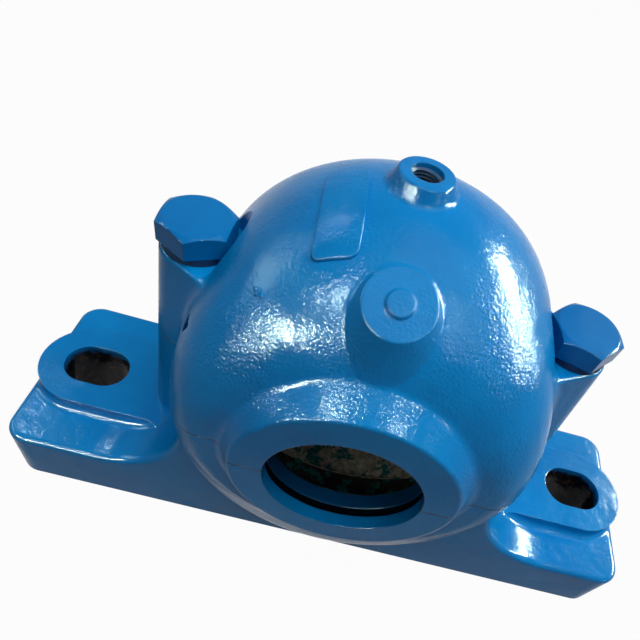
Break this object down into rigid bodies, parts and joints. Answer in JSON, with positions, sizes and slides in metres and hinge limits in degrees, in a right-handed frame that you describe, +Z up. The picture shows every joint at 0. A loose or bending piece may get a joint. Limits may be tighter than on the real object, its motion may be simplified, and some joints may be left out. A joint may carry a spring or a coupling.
{
  "type": "split plummer block housing",
  "caption": "Split pillow block housing: a cast base with slotted feet and a bolted domed cap, holding a bearing and passing a shaft through ringed bores.",
  "frame": {"origin": "middle of the underside of the base", "axes": "+X along the base from slot to slot, +Y along the shaft towards the rear, +Z up through the cap"},
  "size_m": [0.2056, 0.084, 0.121],
  "materials": {
    "casting_enamel": "gloss blue enamel over rough cast iron",
    "bolt_enamel": "gloss blue enamel over forged steel",
    "washer_steel": "blackened spring steel",
    "pin_steel": "ground steel"
  },
  "bodies": {
    "root": {"housing_base": "casting_enamel", "housing_cap": "casting_enamel", "cap_bolt_left": "bolt_enamel", "cap_bolt_right": "bolt_enamel", "spring_washer_left": "washer_steel", "spring_washer_right": "washer_steel", "dowel_pin_left": "pin_steel", "dowel_pin_right": "pin_steel"}
  },
  "joints": []
}
